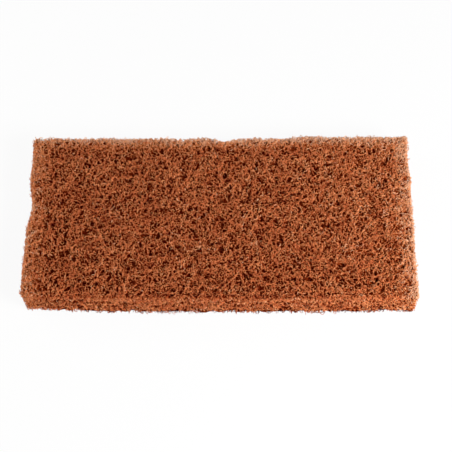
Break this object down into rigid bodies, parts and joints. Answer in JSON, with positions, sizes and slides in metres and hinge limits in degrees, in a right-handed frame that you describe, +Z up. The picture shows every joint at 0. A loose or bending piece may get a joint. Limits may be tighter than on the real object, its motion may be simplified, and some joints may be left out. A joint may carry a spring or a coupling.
{
  "type": "scrub pad",
  "caption": "Flat rectangular scrub pad of coarse crimped fibres bonded with resin, with an open, pitted skin and worn edges, for use by hand or under a pad holder.",
  "frame": {"origin": "middle of the resting face, on the surface that the pad lies on", "axes": "+X along the pad's length, +Y across it towards its back edge, +Z up through its thickness"},
  "size_m": [0.254, 0.119, 0.0254],
  "materials": {
    "bonded_fibre": "open web of orange-brown fibres under a thin coat of satin resin"
  },
  "bodies": {
    "root": {"fibre_pad": "bonded_fibre"}
  },
  "joints": []
}
